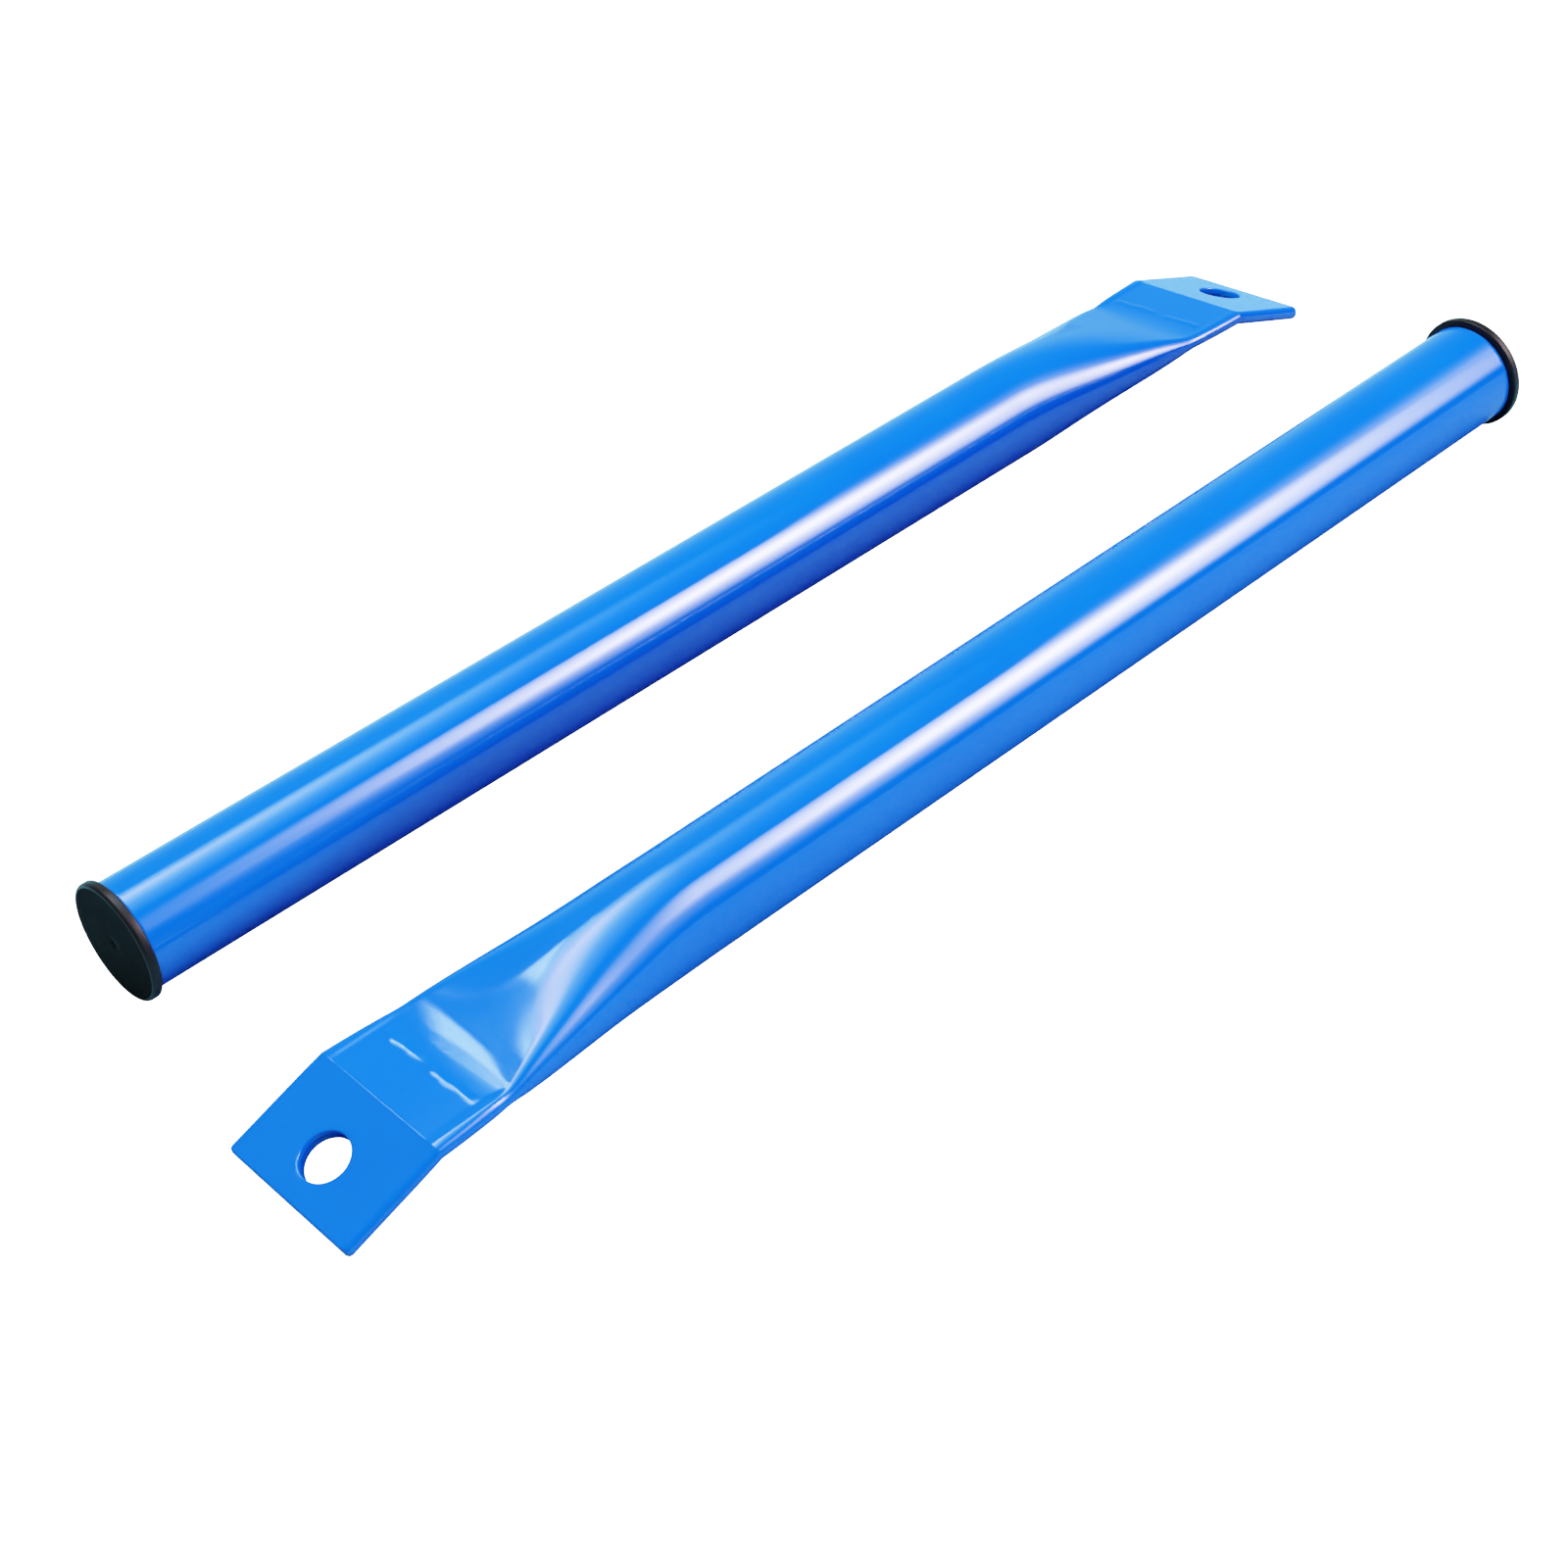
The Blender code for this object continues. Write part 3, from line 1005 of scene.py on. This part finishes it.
@dataclass
class Studio:
    """The pale floor, the lamps, the room's own light and the camera."""

    floor_level: float = -0.0001
    floor_size: float = 6.0
    floor_glow: float = 6.0
    # The floor's colour as the bars mirror it: a cyan tint, a painted glow that stands in for blue light
    # bounced off the bars.
    floor_painted_blue_glow: tuple[float, float, float] = (0.36, 0.85, 0.95)
    floor_bounce: tuple[float, float, float] = (0.10, 0.15, 0.28)
    # Painted shade: within this reach of the bars, an occlusion node darkens both floor colours that the
    # bars mirror and that bounce onto them.
    floor_shade_reach: float = 0.04
    floor_shade_samples: int = 4
    room_colour: tuple[float, float, float] = (0.35, 0.95, 1.0)
    room_glow: float = 1.5
    room_dark: float = 0.05
    room_narrowness: float = 6.0
    room_bright_way: tuple[float, float, float] = (0.574, 0.819, 0.0)
    camera_azimuth: float = radians(-38.3158)
    camera_elevation: float = radians(35.5681)
    camera_roll: float = radians(8.9839)
    camera_aim: tuple[float, float, float] = (-0.05118, -0.03111, 0.0135)
    camera_distance: float = 0.60404
    camera_lens: float = 64.84
    camera_sensor: float = 36.0
    camera_near: float = 0.01
    curve_reach: float = 5.0
    curve_stops: tuple[tuple[float, float], ...] = (
        (0.02, 0.012), (0.06, 0.047), (0.15, 0.134), (0.3, 0.257), (0.5, 0.393), (0.8, 0.550),
        (1.2, 0.700), (1.7, 0.818), (2.3, 0.900), (3.0, 0.950), (4.0, 0.985),
    )
    lamps: tuple[BodyLamp, ...] = (
        BodyLamp("key_lamp", (0.86, -0.86, 0.88), (0.9, 0.9), 20.0, (0.5, 0.45, 1.0)),
        BodyLamp("top_lamp", (0.0, 0.32, 1.15), (1.2, 1.2), 34.0, (1.0, 1.0, 1.0)),
        BodyLamp("low_lamp", (-0.1, -1.25, 0.12), (1.2, 0.16), 13.0, (0.5, 1.0, 1.0)),
    )
    panels: tuple[GlossPanel, ...] = (
        GlossPanel(
            "key_panel", (0.858, -0.858, 0.882), (0.0, 0.0, 0.0), (1.9, 1.9), 64.0,
            ((0.0, (0.85, 1.25, 1.3)), (0.12, (1.0, 1.05, 1.1)), (0.5, (1.0, 0.92, 1.05))),
            ((-0.9, 0.0), (-0.75, 0.028), (-0.6, 0.065), (-0.45, 0.175), (-0.3, 0.50), (-0.15, 0.93),
             (-0.08, 1.0), (0.0, 0.95), (0.15, 0.50), (0.3, 0.165), (0.45, 0.08), (0.6, 0.037),
             (0.75, 0.012), (0.9, 0.0)),
            ((-0.9, 0.0), (-0.8, 0.01), (-0.7, 0.07), (-0.6, 0.19), (-0.5, 0.305), (-0.4, 0.40),
             (-0.3, 0.53), (-0.2, 0.73), (-0.1, 0.97), (-0.05, 1.0), (0.0, 0.97), (0.1, 0.70),
             (0.2, 0.49), (0.3, 0.31), (0.4, 0.155), (0.5, 0.04), (0.6, 0.005), (0.7, 0.0)),
        ),
        GlossPanel(
            "top_panel", (0.1, 0.1, 1.0), (0.1, 0.1, 0.0), (1.3, 1.3), 19.5,
            ((0.0, (0.45, 1.2, 1.3)), (0.4, (0.62, 1.1, 1.2)), (1.0, (1.0, 1.0, 1.1))),
            ((-0.5, 0.0), (-0.4, 0.3), (-0.3, 0.7), (-0.2, 0.95), (-0.1, 1.0), (0.0, 0.9), (0.1, 0.72),
             (0.2, 0.54), (0.28, 0.36), (0.35, 0.2), (0.45, 0.09), (0.6, 0.0)),
            ((-0.55, 0.0), (-0.4, 0.09), (-0.25, 0.18), (-0.1, 0.34), (0.05, 0.68), (0.2, 1.0), (0.28, 0.9),
             (0.35, 0.6), (0.42, 0.3), (0.5, 0.0)),
        ),
        GlossPanel(
            "back_panel", (0.03, 0.60, 1.0), (0.03, 0.60, 0.0), (0.5, 0.5), 24.0,
            ((0.0, (0.55, 1.05, 1.2)), (1.0, (0.66, 1.05, 1.15))),
            ((-0.21, 0.0), (-0.18, 1.0), (0.09, 1.0), (0.11, 0.0)),
            ((-0.22, 0.0), (-0.12, 1.0), (-0.025, 1.0), (-0.005, 0.5), (0.01, 0.0)),
        ),
    )

    def build_floor(self) -> None:
        """Lays the floor: white to look at. In the bars' reflections it shows a painted cyan glow, and it
        bounces a darker blue onto them. Near the bars both colours are darkened by painted shade.
        """
        bench = NodeBench("studio_floor")
        bench.tree.nodes.remove(bench.shader)
        path = bench.add("ShaderNodeLightPath")
        layers = []
        # The first layer is the floor as the bars mirror it, with its painted cyan glow. The second is the
        # darker blue that it bounces onto the bars.
        for name, colour in (("sheen", self.floor_painted_blue_glow), ("bounce", self.floor_bounce)):
            # Painted shade: the occlusion node darkens this floor colour near the bars.
            shade = bench.add("ShaderNodeAmbientOcclusion", samples=self.floor_shade_samples, label=name)
            shade.inputs["Color"].default_value = (*colour, 1.0)
            shade.inputs["Distance"].default_value = self.floor_shade_reach
            matt = bench.add("ShaderNodeBsdfDiffuse")
            bench.join(shade.outputs["Color"], matt.inputs["Color"])
            layers.append(matt.outputs["BSDF"])
        white = bench.add("ShaderNodeEmission")
        white.inputs["Strength"].default_value = self.floor_glow
        unseen = bench.add("ShaderNodeMixShader")
        bench.join(path.outputs["Is Diffuse Ray"], unseen.inputs["Fac"])
        bench.join(layers[0], unseen.inputs[1])
        bench.join(layers[1], unseen.inputs[2])
        mixed = bench.add("ShaderNodeMixShader")
        bench.join(path.outputs["Is Camera Ray"], mixed.inputs["Fac"])
        bench.join(unseen.outputs["Shader"], mixed.inputs[1])
        bench.join(white.outputs["Emission"], mixed.inputs[2])
        bench.join(mixed.outputs["Shader"], bench.tree.nodes["Material Output"].inputs["Surface"])
        half = self.floor_size / 2
        mesh = bpy.data.meshes.new("studio_floor")
        corners = [(-half, -half, 0), (half, -half, 0), (half, half, 0), (-half, half, 0)]
        mesh.from_pydata(corners, [], [(0, 1, 2, 3)])
        mesh.materials.append(bench.material)
        floor = new_object("studio_floor", mesh)
        floor.location.z = self.floor_level

    def build_room(self) -> None:
        """Fills the room: brightest low down behind the bars, and white to the camera past the floor."""
        world = bpy.data.worlds.new("studio_room")
        bpy.context.scene.world = world
        world.use_nodes = True
        nodes, join = world.node_tree.nodes, world.node_tree.links.new
        way = nodes.new("ShaderNodeTexCoord")
        toward = nodes.new("ShaderNodeVectorMath")
        toward.operation = "DOT_PRODUCT"
        toward.inputs[1].default_value = self.room_bright_way
        join(way.outputs["Generated"], toward.inputs[0])
        facing = nodes.new("ShaderNodeMath")
        facing.operation = "MAXIMUM"
        join(toward.outputs["Value"], facing.inputs[0])
        narrow = nodes.new("ShaderNodeMath")
        narrow.operation = "POWER"
        narrow.inputs[1].default_value = self.room_narrowness
        join(facing.outputs["Value"], narrow.inputs[0])
        level = nodes.new("ShaderNodeMath")
        level.operation = "MULTIPLY_ADD"
        level.inputs[1].default_value = self.room_glow
        level.inputs[2].default_value = self.room_dark
        join(narrow.outputs["Value"], level.inputs[0])
        dim = nodes["Background"]
        dim.inputs["Color"].default_value = (*self.room_colour, 1.0)
        join(level.outputs["Value"], dim.inputs["Strength"])
        white = nodes.new("ShaderNodeBackground")
        white.inputs["Strength"].default_value = self.floor_glow
        path = nodes.new("ShaderNodeLightPath")
        mixed = nodes.new("ShaderNodeMixShader")
        join(path.outputs["Is Camera Ray"], mixed.inputs["Fac"])
        join(dim.outputs["Background"], mixed.inputs[1])
        join(white.outputs["Background"], mixed.inputs[2])
        join(mixed.outputs["Shader"], nodes["World Output"].inputs["Surface"])

    def set_exposure(self) -> None:
        """Sets the film's response: straight in the darks, rolling off gently to white."""
        view = bpy.context.scene.view_settings
        view.view_transform = "Standard"
        view.look = "None"
        view.use_curve_mapping = True
        mapping = view.curve_mapping
        mapping.white_level = (self.curve_reach,) * 3
        curve = mapping.curves[3]
        for place, level in self.curve_stops:
            curve.points.new(place / self.curve_reach, level)
        mapping.update()

    def build_camera(self) -> None:
        """Sets up the camera, rolled a little about its own line of sight."""
        lens = bpy.data.cameras.new("studio_camera")
        lens.lens = self.camera_lens
        lens.sensor_width = self.camera_sensor
        lens.clip_start = self.camera_near
        camera = new_object("studio_camera", lens)
        flat = cos(self.camera_elevation)
        across, back = sin(self.camera_azimuth) * flat, -cos(self.camera_azimuth) * flat
        away = Vector((across, back, sin(self.camera_elevation)))
        turn = (-away).to_track_quat("-Z", "Y").to_matrix().to_4x4()
        place = Matrix.Translation(Vector(self.camera_aim) + away * self.camera_distance)
        camera.matrix_world = place @ turn @ Matrix.Rotation(-self.camera_roll, 4, "Z")
        bpy.context.scene.camera = camera

    def build(self) -> None:
        """Builds the whole studio."""
        self.build_floor()
        self.build_room()
        for light in (*self.lamps, *self.panels):
            light.build()
        self.build_camera()
        self.set_exposure()
        log.info("studio: %d lamps and %d panels", len(self.lamps), len(self.panels))


REAR_STANCE = Stance((-0.173227, 0.041845, 0.014109), 0.0, 0.005573, 0.0)
FRONT_STANCE = Stance((0.17336, -0.04557, 0.014109), pi - radians(0.6), 0.005471, radians(-6.3))
SPARKED_FACE = MouldedPlastic("sparked_black_plastic", smooth=0.60, rough=0.75, specular=0.03)


def main() -> None:
    """Builds both bars, then the studio."""
    logging.basicConfig(level=logging.INFO, format="%(name)s: %(message)s")
    coat = PowderCoat().material()
    bore = BoreSteel().material()
    plastic = MouldedPlastic().material()
    face = SPARKED_FACE.material()
    for bar in (SwayBar(Side.REAR, REAR_STANCE), SwayBar(Side.FRONT, FRONT_STANCE)):
        bar.build(coat, bore, plastic, face)
    Studio().build()


if __name__ == "__main__":
    main()
